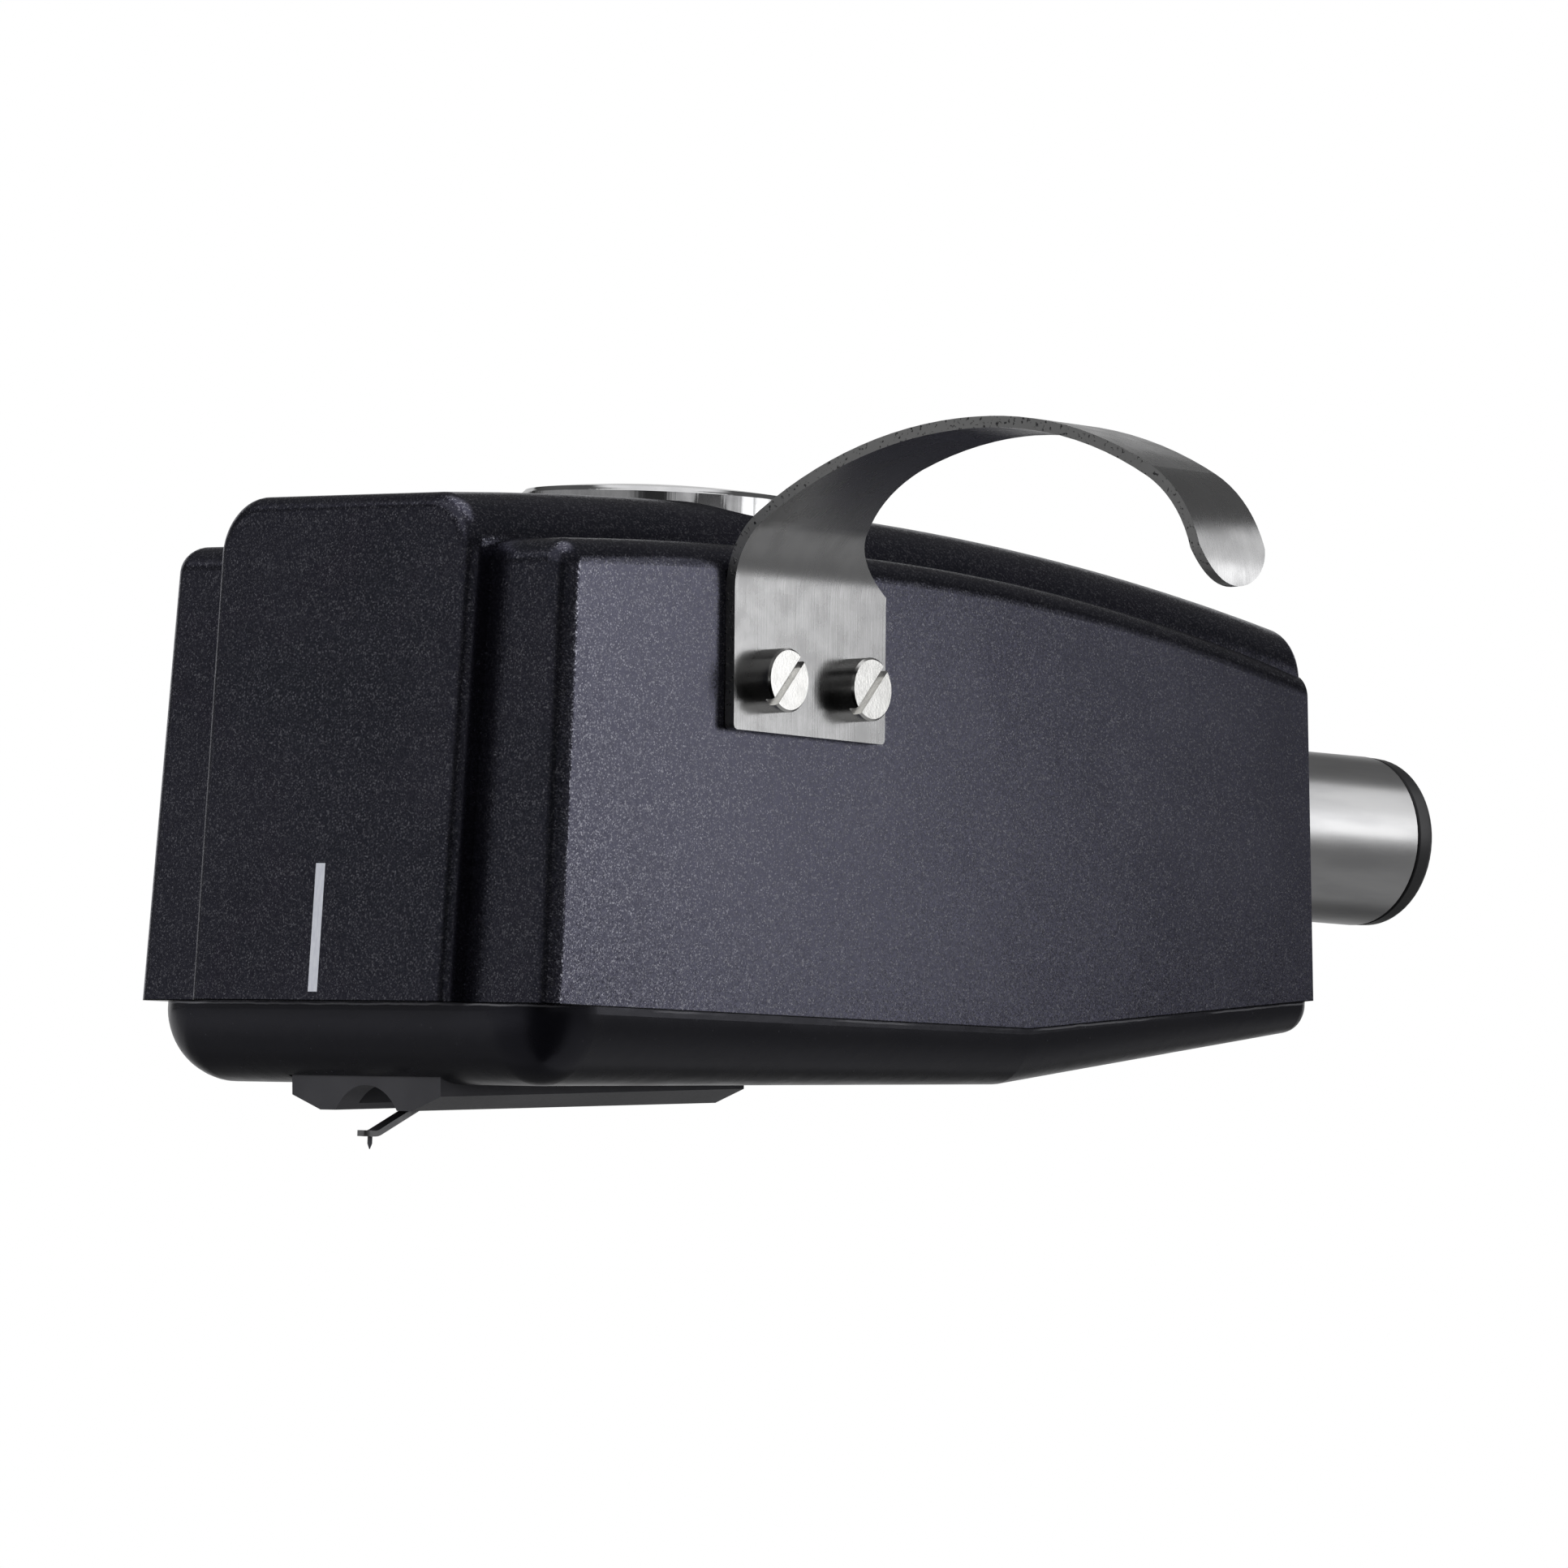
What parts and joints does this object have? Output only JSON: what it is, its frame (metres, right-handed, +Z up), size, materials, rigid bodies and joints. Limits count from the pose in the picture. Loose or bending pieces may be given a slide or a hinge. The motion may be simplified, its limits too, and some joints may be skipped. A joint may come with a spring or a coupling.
{
  "type": "phono cartridge headshell",
  "caption": "Moving coil pickup built into a tapered black headshell, with a curved steel finger lift, bent cantilever and round bayonet connector.",
  "frame": {"origin": "centre of the flat rear seat face, on the connector axis", "axes": "+X rearward along the connector axis, +Z up from the record, finger lift on the -Y side"},
  "size_m": [0.068, 0.052, 0.0326],
  "materials": {
    "shell_paint": "satin dark navy with a fine metallic fleck",
    "line_white": "filled paint",
    "cover_black": "smooth gloss",
    "disc_chrome": "turned and polished",
    "lift_steel": "brushed",
    "screw_nickel": "nickel plated",
    "tube_metal": "fine turned",
    "insulator_black": "moulded",
    "contact_gold": "plated",
    "block_black": "satin moulded",
    "magnet_grey": "ground",
    "pole_iron": "machined soft iron",
    "wire_steel": "drawn",
    "ferrule_brass": "turned",
    "damper_rubber": "matte",
    "armature_black": "matte",
    "coil_copper": "enamelled winding",
    "arm_alloy": "drawn strip",
    "stylus_diamond": "ground and polished",
    "terminal_board": "moulded sheet",
    "lead_red": "insulation",
    "lead_white": "insulation",
    "lead_green": "insulation",
    "lead_blue": "insulation"
  },
  "bodies": {
    "headshell": {"shell": "shell_paint", "cue_line": "line_white", "lower_cover": "cover_black", "top_disc": "disc_chrome", "generator_screw": "screw_nickel", "finger_lift": "lift_steel", "finger_lift_screws": "screw_nickel", "connector_tube": "tube_metal", "locating_pin": "screw_nickel", "contact_insulator": "insulator_black", "contact_pins": "contact_gold", "generator_block": "block_black", "magnet": "magnet_grey", "front_pole_plate": "pole_iron", "rear_yoke": "pole_iron", "pole_core": "pole_iron", "suspension_grub_screw": "pole_iron", "suspension_wire": "wire_steel", "damper_ring": "damper_rubber", "terminal_plate": "terminal_board", "terminal_pins": "contact_gold", "lead_wire_red": "lead_red", "lead_wire_white": "lead_white", "lead_wire_green": "lead_green", "lead_wire_blue": "lead_blue"},
    "suspension": {"wire_ferrule": "ferrule_brass"},
    "stylus_arm": {"armature": "armature_black", "coil_left": "coil_copper", "coil_right": "coil_copper", "cantilever": "arm_alloy", "stylus": "stylus_diamond"}
  },
  "joints": [
    {"name": "stylus_vertical", "type": "hinge", "parent": "headshell", "child": "suspension", "pos_m": [-0.04446, 0, -0.01277], "axis": [0, 1, 0], "range_deg": [-1.5, 4], "stiffness_Nm_per_rad": 0.008},
    {"name": "stylus_lateral", "type": "hinge", "parent": "suspension", "child": "stylus_arm", "pos_m": [-0.04446, 0, -0.01277], "axis": [-0.4648, 0, 0.8854], "range_deg": [-3, 3], "stiffness_Nm_per_rad": 0.008}
  ]
}
